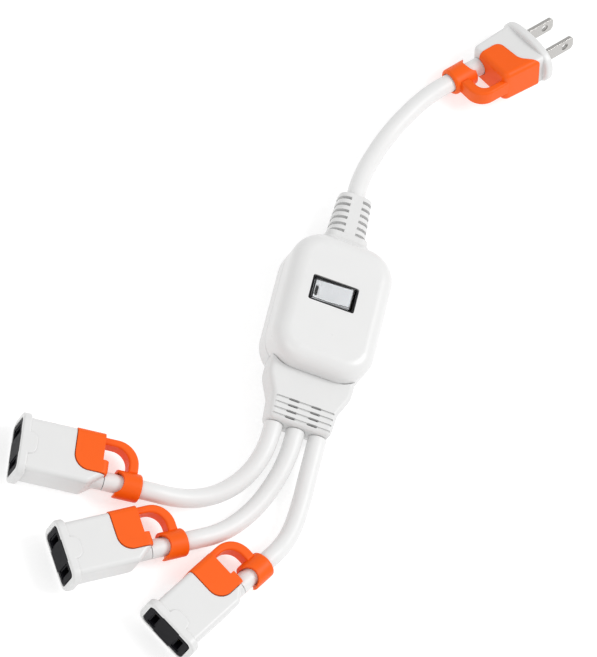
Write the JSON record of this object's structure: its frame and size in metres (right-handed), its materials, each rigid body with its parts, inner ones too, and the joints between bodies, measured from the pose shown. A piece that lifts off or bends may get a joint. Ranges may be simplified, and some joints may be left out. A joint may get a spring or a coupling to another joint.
{
  "type": "power cord splitter",
  "caption": "Mains lead that splits a flat-blade plug into separate socket ends through a rounded box with a clear overload rocker switch; each end has a moulded pull ring.",
  "frame": {"origin": "centre of the flat back of the box, on the surface that the whole lead lies on", "axes": "+Y along the box towards the plug cord, +Z out of the face with the switch, +X to the right seen from the front"},
  "size_m": [0.1751, 0.3132, 0.0265],
  "materials": {
    "white_shell": "satin moulded plastic, softly glossy",
    "white_moulding": "fine-grained moulded vinyl",
    "soft_white_moulding": "soft moulded vinyl",
    "cord_sheath": "smooth round vinyl sheath",
    "orange_ring": "smooth satin rubber",
    "black_insert": "smooth dark plastic",
    "black_switch": "smooth dark plastic",
    "clear_rocker": "clear polished plastic",
    "nickel_blade": "nickel-plated, lightly brushed",
    "brass_parts": "stamped brass",
    "zinc_screw": "zinc-plated steel",
    "lamp_glass": "clear glass bulb",
    "brown_wire": "brown core insulation",
    "blue_wire": "blue core insulation"
  },
  "bodies": {
    "splitter": {"switch_body": "black_switch", "neon_lamp": "lamp_glass", "line_terminal": "brass_parts", "lamp_terminal": "brass_parts", "load_terminal": "brass_parts", "bimetal_strip": "brass_parts", "front_shell": "white_shell", "rear_shell": "white_shell", "cover_screw_1": "zinc_screw", "cover_screw_2": "zinc_screw", "cover_screw_3": "zinc_screw", "cover_screw_4": "zinc_screw", "input_strain_relief": "soft_white_moulding", "output_strain_relief": "soft_white_moulding", "plug_body": "white_moulding", "plug_bridge": "soft_white_moulding", "plug_pull_ring": "orange_ring", "plug_blade_left": "nickel_blade", "plug_blade_right": "nickel_blade", "input_cord": "cord_sheath", "socket_body_1": "white_moulding", "socket_face_1": "black_insert", "socket_pull_ring_1": "orange_ring", "socket_contact_1_left": "brass_parts", "socket_contact_1_right": "brass_parts", "output_cord_1": "cord_sheath", "socket_body_2": "white_moulding", "socket_face_2": "black_insert", "socket_pull_ring_2": "orange_ring", "socket_contact_2_left": "brass_parts", "socket_contact_2_right": "brass_parts", "output_cord_2": "cord_sheath", "socket_body_3": "white_moulding", "socket_face_3": "black_insert", "socket_pull_ring_3": "orange_ring", "socket_contact_3_left": "brass_parts", "socket_contact_3_right": "brass_parts", "output_cord_3": "cord_sheath", "live_bus": "brass_parts", "neutral_bus": "brass_parts", "input_live_wire": "brown_wire", "input_neutral_wire": "blue_wire", "lamp_wire": "blue_wire", "load_wire": "brown_wire", "output_live_wire_1": "brown_wire", "output_neutral_wire_1": "blue_wire", "output_live_wire_2": "brown_wire", "output_neutral_wire_2": "blue_wire", "output_live_wire_3": "brown_wire", "output_neutral_wire_3": "blue_wire"},
    "rocker": {"rocker": "clear_rocker"}
  },
  "joints": [
    {"name": "rocker_tilt", "type": "hinge", "parent": "splitter", "child": "rocker", "pos_m": [-0.002, 0.003, 0.0212], "axis": [0, 1, 0], "range_deg": [0, 12]}
  ]
}
